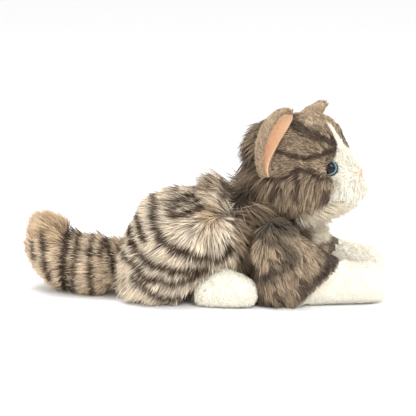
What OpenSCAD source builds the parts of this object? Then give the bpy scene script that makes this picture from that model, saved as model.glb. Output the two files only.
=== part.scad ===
// Plush cat lying on its belly, head turned to its right side.
// +X runs from the tail to the face, +Z is up, and the ground is z = 0.
// The skins are sewn panels of pile fabric over loose filling; hard parts are only the eyes.

/* [Torso] */
// Length of the torso from rump to chest
torso_length = 163; // [150:1:170]
// Width of the torso between the thighs
torso_width = 68; // [60:1:69]
// Height of the back above the ground
back_height = 84; // [80:1:88]
// Height of the pellet bag in the belly
pellet_bag_height = 16; // [10:1:24]

/* [Thighs and hind feet] */
// How far a thigh stands out from the torso
thigh_bulge = 25; // [18:1:28]
// Length of a hind foot
foot_length = 50; // [44:1:52]
// Width of a hind foot
foot_width = 29; // [24:1:30]

/* [Front legs] */
// Length of a front leg from shoulder to toes
leg_length = 104; // [96:1:110]
// Width of a front leg
leg_width = 29; // [24:1:29]
// How much further forward the left paw reaches than the right one
left_reach = 5; // [0:1:6]

/* [Head] */
// Width of the head between the cheeks
head_width = 82; // [74:1:86]
// Height of the head from throat to crown
head_height = 80; // [74:1:82]
// Length of the head from its back to the tip of the muzzle
head_length = 91; // [87:0.5:95]
// Angle that the head is turned to its right side
head_turned = 20; // [0:1:25]
// Diameter of an eye
eye_d = 12.6; // [11:0.1:13]
// Height of an ear above its seam
ear_height = 33; // [28:1:36]
// Width of an ear along its seam
ear_width = 54; // [50:1:56]

/* [Tail] */
// Length of the tail from its root to its tip
tail_length = 70; // [67:1:77]
// Thickness of the tail where it is fattest
tail_d = 45; // [40:1:46]

/* [Fabric] */
// Thickness of the pile fabric's backing and packed nap
cloth = 1.6; // [1.2:0.1:2]
// Space that a seam or a layer leaves
gap = 0.4; // [0.3:0.1:0.6]

/* [Hidden] */
$fn = 48;
SIDES = 20;
BALL_SLACK = 0.6;
FULL = 360;
OFF_GROUND = -1000;
UP = 90;
// Colours
BROWN = [0.47, 0.39, 0.31];
CREAM = [0.76, 0.68, 0.56];
WHITE = [0.96, 0.95, 0.90];
PEACH = [0.88, 0.68, 0.52];
FILLING = [0.93, 0.93, 0.94];
PELLET = [0.75, 0.76, 0.80];
BLACK = [0.03, 0.03, 0.04];
PINK = [0.78, 0.45, 0.42];
// The standard cat's rings are stretched from these sizes to the driving ones
STANDARD = [163, 68, 84];
HEAD_STANDARD = [91, 82, 80];
TAIL_STANDARD = [70, 45];
LEG_STANDARD = [104, 29];
FOOT_STANDARD = [50, 29];
// Neck ball between torso and head
neck_pivot = [62, 0, back_height - 4];
neck_r = 17;
// Head centre, from the neck ball, before the head is turned
head_from_neck = [17, 0, 31];
// Tail root ball, and the ball half way along the tail
tail_x = -75.5;
tail_z = 26;
tail_ball_r = 13;
tail_bend_x = -112;
tail_bend_y = 8;
tail_bend_r = 14;
shoulder_x = 42;
foot_heel_x = -9;
thigh_plane = torso_width / 2 + 1.3;

// Each ring is [x, y, z, half width, half height, lean]: a section across X at that
// centre, and how far it leans forward for each millimetre of height.
TORSO = stretch([
    [-63.5, 0, 30, 8, 8, 0],
    [-61, 0, 31, 21, 20, 0],
    [-49, 0, 33, 31, 34, 0],
    [-30, 0, 36, 33, 41, 0],
    [-5, 0, 38, 34, 46, 0],
    [24, 0, 38, 32.5, 46, 0],
    [45, 0, 37, 30, 43, 0],
    [62, 0, 35, 28, 38, 0],
    [79, 0, 33, 25, 31, 0],
    [93, 0, 33, 18, 22, 0],
    [99.5, 0, 33, 6, 9, 0]
], torso_length / STANDARD[0], torso_width / STANDARD[1], back_height / STANDARD[2]);

// Left thigh: half rings that stand on the plane beside the torso
THIGH = [for (r = [
    [-62, 0, 29, 0.12, 10, 0],
    [-58, 0, 31, 0.42, 22, 0],
    [-44, 0, 34, 0.82, 31, 0],
    [-28, 0, 38, 0.97, 35, 0],
    [-12, 0, 46, 1.0, 31, 0],
    [2, 0, 53, 0.92, 27, 0],
    [16, 0, 57, 0.7, 21, 0],
    [26, 0, 58, 0.36, 12, 0],
    [29.5, 0, 58, 0.12, 5, 0]
]) [r[0], thigh_plane, r[2], r[3] * thigh_bulge, r[4], 0]];

// Left hind foot
FOOT = along([
    [0, 50, 9.5, 3, 5, 0],
    [3, 50, 10, 8, 9, 0],
    [11, 50, 12.5, 12, 13.5, 0],
    [23, 51, 14.5, 14, 16, 0],
    [35, 52, 13, 14.5, 13.7, 0],
    [45, 52.5, 11, 11.5, 10.5, 0],
    [49, 52.5, 10.5, 6, 6.5, 0],
    [50, 52.5, 10.5, 2, 2.5, 0]
], foot_heel_x, foot_length / FOOT_STANDARD[0], foot_width / FOOT_STANDARD[1]);

// Left front leg; the wrist seam leans forward
LEG = along([
    [0, 47.2, 36, 4, 12, 0],
    [3.5, 47.2, 36, 11, 27, 0],
    [14, 47.2, 34, 14, 34.5, 0.05],
    [32, 46.5, 25, 14.5, 26.5, 0.35],
    [54, 43.5, 18, 14.5, 19, 0.75],
    [70, 41, 17, 14.5, 17.8, 0.5],
    [84, 39, 16.5, 14.5, 17, 0.2],
    [97, 38, 15.5, 12, 15, 0],
    [102.5, 37.5, 15.5, 7, 10, 0],
    [104, 37.5, 15.5, 2.5, 4, 0]
], shoulder_x, leg_length / LEG_STANDARD[0], leg_width / LEG_STANDARD[1]);
wrist_x = shoulder_x + 53 * leg_length / LEG_STANDARD[0];

// Head, from its own centre, face along +X
HEAD = stretch([
    [-38.5, 0, 0, 6, 6, 0],
    [-35.5, 0, 0, 18, 18, 0],
    [-26, 0, 0, 31, 30, 0],
    [-9, 0, 0, 39.5, 38.5, 0],
    [8, 0, 0, 41, 40, 0],
    [21, 0, 0, 36, 35.5, 0],
    [30, 0, -3, 27, 27.5, 0],
    [37, 0, -8, 22, 21, 0],
    [44.5, 0, -13, 18.5, 16.5, 0],
    [50, 0, -14, 13, 11.5, 0],
    [52.5, 0, -14, 5, 5, 0]
], head_length / HEAD_STANDARD[0], head_width / HEAD_STANDARD[1], head_height / HEAD_STANDARD[2]);
head_back = -37;
muzzle_x = 30;
muzzle_tip = 52.5 * head_length / HEAD_STANDARD[0];
blaze_x = 2;
blaze_half = 16;
throat_half = 38;

// Tail, along +X from its root ball, as it lies before it is turned to point backwards
tail_k = tail_d / TAIL_STANDARD[1];
TAIL = [for (r = [
    [0, 0, 26, 12.5, 12.5, 0],
    [6, 0, 25, 15.5, 15.5, 0],
    [16, 1.5, 23, 17, 17.5, 0],
    [28, 5, 23, 19, 19.5, 0],
    [41, 10, 27, 22, 23.5, 0],
    [53, 14, 31.5, 22.5, 25, 0],
    [62, 16, 34.5, 18, 20, 0],
    [68, 17, 36, 10, 11.5, 0],
    [70, 17.2, 36.4, 3, 3.5, 0]
]) [r[0] * tail_length / TAIL_STANDARD[0], r[1], r[2], r[3] * tail_k, r[4] * tail_k, 0]];
tail_bend = tail_x - tail_bend_x;
tail_bend_z = 24;

// Eye place from the head's centre, and the angle that it looks to the side
eye_place = [32.5, 22.5, -1.4];
eye_look = 27;
eye_dome = 4.6;
stem_r = 1.8;
stem_length = 11;
washer_r = 6;
washer_t = 1.4;
washer_depth = 5.5;

// Middle of the nose embroidery, on the front of the muzzle
nose_place = [muzzle_tip - 1.2, 0, -8];

// Ear corners from the head's centre: inner end of the seam, outer end, tip
ear_inner = [-5, 14, 37];
ear_outer = [-16, 40, -8];
ear_tip = [3.6, 43, 47];
ear_t = 2.4;
ear_lining_t = 1.2;
ear_clear = 45;

// ---- Rings ----

function stretch(rings, kx, ky, kz) =
    [for (r = rings) [r[0] * kx, r[1] * ky, r[2] * kz, r[3] * ky, r[4] * kz, r[5]]];

// Rings whose x is counted from a start, with their length and width stretched
function along(rings, start, k_length, k_width) =
    [for (r = rings) [start + r[0] * k_length, r[1], r[2], r[3] * k_width, r[4], r[5]]];

// A smooth curve through four neighbouring rings, at share t between the middle two
function between(a, b, c, d, t) =
    0.5 * (2 * b + (c - a) * t + (2 * a - 5 * b + 4 * c - d) * t * t
        + (3 * b - a - 3 * c + d) * t * t * t);

// The same rings with one more between each two
function smooth(rings) =
    let (last = len(rings) - 1)
    [for (i = [0:2 * last])
        let (k = floor(i / 2))
        i % 2 == 0 ? rings[k] : between(
            rings[max(k - 1, 0)], rings[k], rings[k + 1], rings[min(k + 2, last)], 0.5)];

function ring_at(rings, x) =
    let (k = [for (i = [0:len(rings) - 2]) if (rings[i + 1][0] >= x) i][0])
    rings[k] + (rings[k + 1] - rings[k]) * (x - rings[k][0]) / (rings[k + 1][0] - rings[k][0]);

// The rings from x0 to x1, cut to length at both ends
function span(rings, x0, x1) =
    concat(
        [ring_at(rings, x0)],
        [for (r = rings) if (r[0] > x0 + 1 && r[0] < x1 - 1) r],
        [ring_at(rings, x1)]);

// Rings drawn in by a depth all round; ends move in where they are closed
function inset(rings, depth, start = 1, end = 1) =
    let (x0 = rings[0][0], length = rings[len(rings) - 1][0] - x0,
        k = (length - (start + end) * depth) / length)
    [for (r = rings) [x0 + start * depth + (r[0] - x0) * k, r[1], r[2],
        max(r[3] - depth, 0.8), max(r[4] - depth, 0.8), r[5]]];

// Sections are a little squarer than ellipses, as stuffed fabric is
function squarer(v) = sign(v) * pow(abs(v), 0.88);

// A point of a ring at an angle from +Y towards +Z, no lower than the ground
function point(r, angle, ground) =
    let (z = max(ground, r[2] + r[4] * squarer(sin(angle))))
    [r[0] + r[5] * (z - r[2]), r[1] + r[3] * squarer(cos(angle)), z];

function arc(r, from, to, count, ground = 0) =
    [for (i = [0:count]) point(r, from + (to - from) * i / count, ground)];

function whole(r, ground = 0) =
    [for (i = [0:SIDES - 1]) point(r, FULL * i / SIDES, ground)];

function reverse(list) = [for (i = [len(list) - 1:-1:0]) list[i]];

// ---- Solids from loops ----

// Joins loops of equally many points; ends "fan" and "band" close them, "none" joins the
// last loop to the first
module loft(loops, ends = "fan", flip = false) {
    n = len(loops[0]);
    m = len(loops);
    half = n / 2;
    sides = [for (i = [0:ends == "none" ? m - 1 : m - 2]) for (j = [0:n - 1])
        let (next = (i + 1) % m, k = (j + 1) % n)
        [i * n + j, next * n + j, next * n + k, i * n + k]];
    fan = [[for (j = [0:n - 1]) j]];
    band = [for (j = [0:half - 2]) [j, j + 1, n - 2 - j, n - 1 - j]];
    near = ends == "none" ? [] : ends == "fan" ? fan : band;
    far = [for (f = near) [for (v = reverse(f)) v + (m - 1) * n]];
    faces = concat(sides, near, far);
    polyhedron(
        [for (loop = loops) each loop],
        flip ? [for (f = faces) reverse(f)] : faces,
        convexity = 4);
}

module filling(rings, ground = 0) {
    depth = cloth + 2 * gap;
    loft([for (r = inset(rings, depth)) whole(r, ground + depth)]);
}

// Filling of half rings, flat along the plane at their centres
module half_filling(rings) {
    depth = cloth + 2 * gap;
    loft([for (r = inset(rings, depth)) arc(r, -UP, UP, SIDES / 2, depth)]);
}

// A sewn panel between two angles of the rings
module panel(rings, from, to, ground = 0) {
    count = max(4, round((to - from) * SIDES / FULL));
    inner = inset(rings, cloth, 0, 0);
    loft([for (i = [0:len(rings) - 1]) concat(
        arc(rings[i], from, to, count, ground),
        reverse(arc(inner[i], from, to, count, ground + cloth)))], ends = "band");
}

// A sleeve of fabric, open at both ends
module tube(rings) {
    inner = inset(rings, cloth, 0, 0);
    loft(concat(
        [for (r = rings) whole(r)],
        [for (r = reverse(inner)) whole(r, cloth)]), ends = "none");
}

// A sleeve of fabric that is closed at its far end, or at its near end
module sock(rings, closed_end = true, ground = 0) {
    inner = inset(rings, cloth, closed_end ? 0 : 1, closed_end ? 1 : 0);
    outside = [for (r = rings) whole(r, ground)];
    inside = [for (r = inner) whole(r, ground + cloth)];
    loft(closed_end ? concat(reverse(outside), inside) : concat(outside, reverse(inside)),
        flip = closed_end);
}

module on_right() {
    mirror([0, 1, 0]) children();
}

// ---- Places ----

module in_head() {
    translate(neck_pivot) rotate([0, 0, -head_turned]) translate(head_from_neck) children();
}

module in_eye() {
    translate(eye_place) rotate([0, UP, eye_look]) children();
}

module in_tail() {
    translate([tail_x, 0, 0]) mirror([1, 0, 0]) children();
}

// ---- Torso ----

module torso_stuffing() {
    color(FILLING) difference() {
        filling(smooth(TORSO));
        pellet_bag_shape(gap);
        neck_ball(BALL_SLACK);
        tail_root_ball(BALL_SLACK);
    }
}

module neck_ball(extra) {
    translate(neck_pivot) sphere(r = neck_r + extra);
}

module tail_root_ball(extra) {
    translate([tail_x, 0, tail_z]) sphere(r = tail_ball_r + extra);
}

// A low round bag of pellets on the belly
module pellet_bag_shape(extra) {
    translate([0, 0, cloth + 3 - extra])
        cylinder(h = pellet_bag_height + 2 * extra, r = 22 + extra);
}

module pellet_bag() {
    color(PELLET) pellet_bag_shape(0);
}

module back_panel() {
    color(CREAM) panel(span(smooth(TORSO), -62.5, 43), -36, UP - 1);
}

module shoulder_panel() {
    color(BROWN) panel(span(smooth(TORSO), 44, 81), -36, 46);
}

module belly_panel() {
    color(CREAM) panel(span(smooth(TORSO), -58, 81), 219, 321);
}

module chest_bib() {
    color(WHITE) sock(span(smooth(TORSO), 82, 99.5 * torso_length / STANDARD[0]));
}

module thigh_cover() {
    color(CREAM) panel(smooth(THIGH), -UP + 2, UP - 2);
}

module thigh_stuffing() {
    color(FILLING) half_filling(smooth(THIGH));
}

// ---- Neck and head ----

module neck_stuffing() {
    color(FILLING) neck_ball(0);
}

module head_stuffing() {
    color(FILLING) difference() {
        in_head() filling(smooth(HEAD), OFF_GROUND);
        neck_ball(BALL_SLACK);
        in_head() eye_pocket();
        in_head() on_right() eye_pocket();
    }
}

// The hollow that an eye and its washer sit in
module eye_pocket() {
    in_eye() {
        translate([0, 0, -0.2]) cylinder(h = 20, r = eye_d / 2 + gap);
        translate([0, 0, -stem_length - gap]) cylinder(h = stem_length + 1, r = stem_r + gap);
        translate([0, 0, -washer_depth - washer_t - gap])
            cylinder(h = washer_t + 2 * gap, r = washer_r + gap);
    }
}

module head_side() {
    color(BROWN) difference() {
        head_panel(-UP + throat_half + 1, UP - blaze_half - 1, head_back, muzzle_x - gap);
        eye_pocket();
    }
}

module head_panel(from, to, x0, x1) {
    panel(span(smooth(HEAD), x0, x1), from, to, OFF_GROUND);
}

module crown_panel() {
    color(BROWN) in_head()
        head_panel(UP - blaze_half, UP + blaze_half, head_back, blaze_x - gap);
}

module blaze_panel() {
    color(WHITE) in_head()
        head_panel(UP - blaze_half, UP + blaze_half, blaze_x, muzzle_x - gap);
}

module throat_panel() {
    color(WHITE) in_head()
        head_panel(-UP - throat_half, -UP + throat_half, blaze_x, muzzle_x - gap);
}

module muzzle_panel() {
    color(WHITE) in_head() difference() {
        sock(span(smooth(HEAD), muzzle_x, muzzle_tip), ground = OFF_GROUND);
        eye_pocket();
        on_right() eye_pocket();
    }
}

// A glossy dome with the stem that its washer locks on
module eye() {
    r = eye_d / 2;
    dome_r = (r * r + eye_dome * eye_dome) / (2 * eye_dome);
    half_angle = asin(r / dome_r);
    dome = [for (i = [0:8])
        let (a = half_angle * (1 - i / 8))
        [dome_r * sin(a), eye_dome - dome_r * (1 - cos(a))]];
    color(BLACK) in_eye() rotate_extrude()
        polygon(concat([[0, -stem_length], [stem_r, -stem_length], [stem_r, 0]], dome));
}

module eye_washer() {
    color(FILLING) in_eye() translate([0, 0, -washer_depth - washer_t]) difference() {
        cylinder(h = washer_t, r = washer_r);
        translate([0, 0, -1]) cylinder(h = washer_t + 2, r = stem_r + 0.05);
    }
}

// One satin-stitched bar of embroidery, through the front of the muzzle
module stitch_bar(length, angle) {
    rotate([angle, 0, 0]) translate([0, -0.9, -length / 2]) cube([1.8, 1.8, length]);
}

module nose_stitching() {
    color(PINK) in_head() translate(nose_place) union() {
        translate([0, 2, 1.5]) stitch_bar(6, 50);
        translate([0, -2, 1.5]) stitch_bar(6, -50);
        translate([0, 0, -2]) stitch_bar(5, 0);
    }
}

module mouth_stitching() {
    color(BROWN) in_head() translate(nose_place + [0, 0, -8.5]) union() {
        translate([0, 2.4, 0]) stitch_bar(5.5, 60);
        translate([0, -2.4, 0]) stitch_bar(5.5, -60);
    }
}

// ---- Ears ----

// Puts a flat leaf on the ear's plane: its seam along X from inner to outer corner, its
// height along Y, its face along Z
module in_ear() {
    seam = ear_outer - ear_inner;
    u = seam / norm(seam);
    side = ear_tip - ear_inner;
    face = cross(u, side) / norm(cross(u, side));
    v = cross(face, u);
    multmatrix([
        [u[0], v[0], face[0], ear_inner[0]],
        [u[1], v[1], face[1], ear_inner[1]],
        [u[2], v[2], face[2], ear_inner[2]],
        [0, 0, 0, 1]
    ]) children();
}

// Outline of an ear from its outer corner: a long outer edge, a tip and a short inner edge
function ear_edge(t) =
    let (tip = 0.62, near_tip = 0.14, after = (t - tip) / (1 - tip))
    t < tip
        ? [ear_width * (1 - (1 - near_tip) * pow(t / tip, 1.35)), ear_height * sin(90 * t / tip)]
        : [ear_width * near_tip * (1 - after), ear_height * cos(90 * after)];

module ear_leaf(margin, low, thick) {
    outline = [for (i = [0:22]) ear_edge(i / 22)];
    translate([0, 0, low]) linear_extrude(thick) offset(delta = -margin) polygon(outline);
}

module ear_back() {
    color(BROWN) difference() {
        in_ear() ear_leaf(0, 0, ear_t);
        sphere(r = ear_clear);
    }
}

module ear_lining() {
    color(PEACH) difference() {
        in_ear() ear_leaf(2.5, ear_t + 0.05, ear_lining_t);
        sphere(r = ear_clear);
    }
}

// ---- Front legs ----

module reach(extra) {
    translate([extra, 0, 0]) children();
}

module sleeve() {
    color(BROWN) sock(span(smooth(LEG), shoulder_x, wrist_x - gap), closed_end = false);
}

module front_paw() {
    color(WHITE) sock(span(smooth(LEG), wrist_x, shoulder_x + leg_length));
}

module leg_stuffing() {
    color(FILLING) filling(smooth(LEG));
}

// ---- Hind feet ----

module hind_foot() {
    color(WHITE) sock(smooth(FOOT));
}

module foot_stuffing() {
    color(FILLING) filling(smooth(FOOT));
}

// ---- Tail ----

module tail_bend_ball(extra) {
    translate([tail_bend_x, tail_bend_y, tail_bend_z]) sphere(r = tail_bend_r + extra);
}

module tail_base_cover() {
    color(CREAM) in_tail() tube(span(smooth(TAIL), 9, tail_bend - 6));
}

module tail_base_stuffing() {
    color(FILLING) {
        tail_root_ball(0);
        in_tail() loft([for (r = inset(span(smooth(TAIL), 3, tail_bend - 5), cloth + gap, 0, 0))
            whole(r)]);
        tail_bend_ball(0);
    }
}

module tail_tip_cover() {
    color(BROWN) in_tail() sock(span(smooth(TAIL), tail_bend + 2, tail_length));
}

module tail_tip_stuffing() {
    color(FILLING) difference() {
        in_tail() filling(span(smooth(TAIL), tail_bend + 2, tail_length));
        tail_bend_ball(BALL_SLACK);
    }
}

torso_stuffing();
pellet_bag();
back_panel();  // back_panel_left
on_right() back_panel();  // back_panel_right
shoulder_panel();  // shoulder_panel_left
on_right() shoulder_panel();  // shoulder_panel_right
belly_panel();
chest_bib();
thigh_cover();  // thigh_cover_left
on_right() thigh_cover();  // thigh_cover_right
thigh_stuffing();  // thigh_stuffing_left
on_right() thigh_stuffing();  // thigh_stuffing_right
neck_stuffing();
head_stuffing();
in_head() head_side();  // head_side_left
in_head() on_right() head_side();  // head_side_right
crown_panel();
blaze_panel();
throat_panel();
muzzle_panel();
in_head() eye();  // eye_left
in_head() on_right() eye();  // eye_right
in_head() eye_washer();  // eye_washer_left
in_head() on_right() eye_washer();  // eye_washer_right
nose_stitching();
mouth_stitching();
in_head() ear_back();  // ear_back_left
in_head() on_right() ear_back();  // ear_back_right
in_head() ear_lining();  // ear_lining_left
in_head() on_right() ear_lining();  // ear_lining_right
reach(left_reach) sleeve();  // sleeve_left
on_right() sleeve();  // sleeve_right
reach(left_reach) front_paw();  // front_paw_left
on_right() front_paw();  // front_paw_right
reach(left_reach) leg_stuffing();  // leg_stuffing_left
on_right() leg_stuffing();  // leg_stuffing_right
hind_foot();  // hind_foot_left
on_right() hind_foot();  // hind_foot_right
foot_stuffing();  // foot_stuffing_left
on_right() foot_stuffing();  // foot_stuffing_right
tail_base_cover();
tail_base_stuffing();
tail_tip_cover();
tail_tip_stuffing();
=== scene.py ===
import math

import bmesh
import bpy
import numpy as np
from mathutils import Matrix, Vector
from mathutils.bvhtree import BVHTree
from mathutils.kdtree import KDTree


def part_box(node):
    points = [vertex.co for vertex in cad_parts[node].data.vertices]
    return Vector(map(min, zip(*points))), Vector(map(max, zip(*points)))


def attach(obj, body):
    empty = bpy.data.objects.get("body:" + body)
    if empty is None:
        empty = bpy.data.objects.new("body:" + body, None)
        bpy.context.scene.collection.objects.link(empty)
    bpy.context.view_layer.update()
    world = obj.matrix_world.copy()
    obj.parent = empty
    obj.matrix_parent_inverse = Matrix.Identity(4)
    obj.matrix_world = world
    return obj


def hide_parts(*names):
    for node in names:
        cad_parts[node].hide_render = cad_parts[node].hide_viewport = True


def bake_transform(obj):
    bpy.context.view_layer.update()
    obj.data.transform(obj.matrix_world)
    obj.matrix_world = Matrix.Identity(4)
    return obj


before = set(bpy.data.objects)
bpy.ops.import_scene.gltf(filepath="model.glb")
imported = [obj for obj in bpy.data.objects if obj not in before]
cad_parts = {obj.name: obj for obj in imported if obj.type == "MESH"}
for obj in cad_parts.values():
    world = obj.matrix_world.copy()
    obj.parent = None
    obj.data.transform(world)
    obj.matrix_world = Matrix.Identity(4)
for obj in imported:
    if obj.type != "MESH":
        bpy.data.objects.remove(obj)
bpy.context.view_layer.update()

# ---------------------------------------------------------------- sizes, in metres
MM = 0.001
VOXEL = 3.0 * MM
FINE_VOXEL = 2.5 * MM
COARSE_VOXEL = 3.5 * MM
FLOOR_CLEAR = 0.3 * MM
UP = np.array((0.0, 0.0, 1.0))
# The two sides of the cat, each with its sign along Y
SIDES = {"left": 1, "right": -1}

# ---------------------------------------------------------------- small helpers


def srgb(red, green, blue):
    """A linear colour from 0-255 display values."""
    values = []
    for value in (red, green, blue):
        v = value / 255
        values.append(v / 12.92 if v < 0.04045 else ((v + 0.055) / 1.055) ** 2.4)
    return (*values, 1.0)


def unit(v):
    return v / np.maximum(np.linalg.norm(v, axis=-1, keepdims=True), 1e-9)


def dot(a, b):
    return np.sum(a * b, axis=-1, keepdims=True)


def smooth(value, low, high):
    """0 below low, 1 above high, and an even curve between."""
    t = np.clip((value - low) / (high - low), 0, 1)
    return t * t * (3 - 2 * t)


def centre(node):
    low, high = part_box(node)
    return np.array((low + high) / 2)


def link(name, data):
    """A new object in the scene, of this mesh, camera or light."""
    obj = bpy.data.objects.new(name, data)
    bpy.context.scene.collection.objects.link(obj)
    return obj


# ---------------------------------------------------------------- camera, floor and light
VIEW_TARGET = Vector((1.6 * MM, 0, 71 * MM))
VIEW_DISTANCE = 1.5
VIEW_ELEVATION = math.radians(10)
LENS_MM = 157.5
SENSOR_MM = 36
LIGHT_TARGET = Vector((0, 0, 60 * MM))
# name, place, size of the disk and power of each softbox
SOFTBOXES = (
    ("key_light", (0.5, -1.1, 1.3), 0.6, 9),
    ("top_light", (-0.4, 0.2, 1.5), 0.9, 9),
    ("fill_light", (-1.2, -0.9, 0.7), 0.8, 3),
    ("front_light", (1.3, -0.4, 0.9), 0.8, 3),
)
FLOOR_REACH = 6.0


def add_camera():
    data = bpy.data.cameras.new("camera")
    data.lens = LENS_MM
    data.sensor_width = SENSOR_MM
    data.clip_start = 0.05
    camera = link("camera", data)
    back = Vector((0, -math.cos(VIEW_ELEVATION), math.sin(VIEW_ELEVATION)))
    camera.location = VIEW_TARGET + back * VIEW_DISTANCE
    camera.rotation_euler = (-back).to_track_quat("-Z", "Y").to_euler()
    bpy.context.scene.camera = camera


def add_softbox(name, place, size, power):
    data = bpy.data.lights.new(name, "AREA")
    data.shape = "DISK"
    data.size = size
    data.energy = power
    lamp = link(name, data)
    lamp.location = place
    aim = LIGHT_TARGET - Vector(place)
    lamp.rotation_euler = aim.to_track_quat("-Z", "Y").to_euler()


def add_studio():
    mesh = bpy.data.meshes.new("floor")
    corners = [(x * FLOOR_REACH, y * FLOOR_REACH, 0) for x, y in ((-1, -1), (1, -1), (1, 1), (-1, 1))]
    mesh.from_pydata(corners, [], [(0, 1, 2, 3)])
    floor = link("floor", mesh)
    material, _, shader = new_material("floor_paper", 0.9, 0.1)
    shader.inputs["Base Color"].default_value = (0.96, 0.96, 0.96, 1)
    mesh.materials.append(material)
    world = bpy.data.worlds.new("studio")
    world.use_nodes = True
    background = world.node_tree.nodes["Background"]
    background.inputs["Color"].default_value = (1, 1, 1, 1)
    background.inputs["Strength"].default_value = 1.0
    bpy.context.scene.world = world
    bpy.context.scene.view_settings.view_transform = "Standard"
    for softbox in SOFTBOXES:
        add_softbox(*softbox)


# ---------------------------------------------------------------- materials


def add_node(tree, kind, inputs=None, **settings):
    """A shader node; an input given as a socket is linked, and as a number or colour is set."""
    node = tree.nodes.new(kind)
    for key, value in settings.items():
        setattr(node, key, value)
    for key, value in (inputs or {}).items():
        if isinstance(value, bpy.types.NodeSocket):
            tree.links.new(value, node.inputs[key])
        else:
            node.inputs[key].default_value = value
    return node


def new_material(name, roughness=0.7, specular=0.25, sheen=0.0):
    material = bpy.data.materials.new(name)
    material.use_nodes = True
    tree = material.node_tree
    shader = tree.nodes["Principled BSDF"]
    shader.inputs["Roughness"].default_value = roughness
    shader.inputs["Specular IOR Level"].default_value = specular
    shader.inputs["Sheen Weight"].default_value = sheen
    return material, tree, shader


def attribute(tree, name):
    return add_node(tree, "ShaderNodeAttribute", attribute_name=name).outputs["Fac"]


def object_place(tree):
    return add_node(tree, "ShaderNodeTexCoord").outputs["Object"]


def mixed(tree, factor, first, second, kind="MIX"):
    """Two colours mixed; 0, 6, 7 and 2 are the colour sockets of the Mix node."""
    inputs = {0: factor, 6: first, 7: second}
    return add_node(tree, "ShaderNodeMix", inputs, data_type="RGBA", blend_type=kind).outputs[2]


def remapped(tree, value, low, high, to_low, to_high):
    inputs = {"Value": value, 1: low, 2: high, 3: to_low, 4: to_high}
    return add_node(tree, "ShaderNodeMapRange", inputs).outputs[0]


def noise(tree, scale, detail):
    inputs = {"Vector": object_place(tree), "Scale": scale, "Detail": detail}
    return add_node(tree, "ShaderNodeTexNoise", inputs).outputs["Fac"]


def vector_math(tree, operation, *values):
    """The outputs of one step of vector arithmetic."""
    inputs = dict(enumerate(values))
    return add_node(tree, "ShaderNodeVectorMath", inputs, operation=operation).outputs


def pile_material(name, light, deep, mark, root, spread=0.3, shade=0.55, white=(253, 249, 237)):
    """Pile fabric in two ground colours, light and deep, with striped marks, which in places hold
    painted shade, and painted shade towards the roots.

    The strands differ by the spread in brightness, and the root colour, painted shade deep in the
    pile, fades out at the share of their length that shade says.
    """
    light, deep, mark, root, white = (srgb(*colour) for colour in (light, deep, mark, root, white))
    material, tree, shader = new_material(name, 0.62, 0.2, 0.15)
    ground = mixed(tree, attribute(tree, "zone"), light, deep)
    marked = mixed(tree, attribute(tree, "mark"), ground, mark)
    # painted shade: the root colour darkens each strand towards its root, where shade falls deep in the
    # pile
    depth = remapped(tree, attribute(tree, "along"), 0.0, shade, 0.9, 0.0)
    rooted = mixed(tree, depth, marked, root)
    whitened = mixed(tree, attribute(tree, "white"), rooted, white)
    flecked = remapped(tree, noise(tree, 900, 2), 0.3, 0.7, 1 - spread / 3, 1 + spread / 3)
    varied = remapped(tree, attribute(tree, "tone"), 0.1, 0.9, 1 - spread, 1 + spread)
    uneven = add_node(tree, "ShaderNodeMath", {0: flecked, 1: varied}, operation="MULTIPLY").outputs[0]
    level = remapped(tree, attribute(tree, "white"), 0.0, 1.0, uneven, 1.0)
    grey = add_node(tree, "ShaderNodeCombineColor", {"Red": level, "Green": level, "Blue": level})
    coloured = mixed(tree, 1.0, whitened, grey.outputs[0], "MULTIPLY")
    tree.links.new(coloured, shader.inputs["Base Color"])
    return material


def velour_material():
    material, tree, shader = new_material("ear_velour", 0.85, 0.15, 0.3)
    nap = noise(tree, 700, 3)
    base = mixed(tree, noise(tree, 90, 2), srgb(216, 168, 130), srgb(238, 200, 164))
    hollow = remapped(tree, nap, 0.35, 0.65, 0.0, 0.35)
    shade = mixed(tree, hollow, base, srgb(188, 140, 106))
    tree.links.new(shade, shader.inputs["Base Color"])
    bump = add_node(tree, "ShaderNodeBump", {"Strength": 0.35, "Distance": 0.6 * MM, "Height": nap})
    tree.links.new(bump.outputs["Normal"], shader.inputs["Normal"])
    return material


def patterned_material(name, texture, settings, first, second, *surface):
    """Two colours mixed by a fine texture; surface is the roughness, specular level and sheen."""
    material, tree, shader = new_material(name, *surface)
    pattern = add_node(tree, texture, {"Vector": object_place(tree), **settings})
    colour = mixed(tree, pattern.outputs["Fac"], srgb(*first), srgb(*second))
    tree.links.new(colour, shader.inputs["Base Color"])
    return material


def thread_material(name, dark, pale):
    twist = {"Scale": 500.0, "Distortion": 1.5}
    return patterned_material(name, "ShaderNodeTexWave", twist, dark, pale, 0.5, 0.35, 0.2)


def eye_material(name, middle, axis):
    """Glossy black pupil with a thin teal iris ring at the rim of the dome."""
    material, tree, shader = new_material(name, 0.06, 0.35)
    arm = vector_math(tree, "SUBTRACT", object_place(tree), tuple(middle))[0]
    across = vector_math(tree, "CROSS_PRODUCT", arm, tuple(axis))[0]
    radius = vector_math(tree, "LENGTH", across)["Value"]
    ring = remapped(tree, radius, 5.1 * MM, 5.4 * MM, 0.0, 1.0)
    rim = remapped(tree, radius, 6.0 * MM, 6.2 * MM, 0.0, 1.0)
    iris = mixed(tree, ring, srgb(8, 8, 10), srgb(112, 160, 176))
    tree.links.new(mixed(tree, rim, iris, srgb(40, 52, 58)), shader.inputs["Base Color"])
    return material


# ---------------------------------------------------------------- skins: the sewn covers under the pile
SOFTEN_ROUNDS = 4
PUFF_PRESSURE = 4.0
PUFF_STEPS = 20
PUFF_STRETCH = 12
PUFF_BEND = 0.5


def joined_copy(name, nodes):
    """A new object that holds copies of these CAD nodes' meshes."""
    shape = bmesh.new()
    for node in nodes:
        shape.from_mesh(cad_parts[node].data)
    mesh = bpy.data.meshes.new(name)
    shape.to_mesh(mesh)
    shape.free()
    return link(name, mesh)


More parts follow.
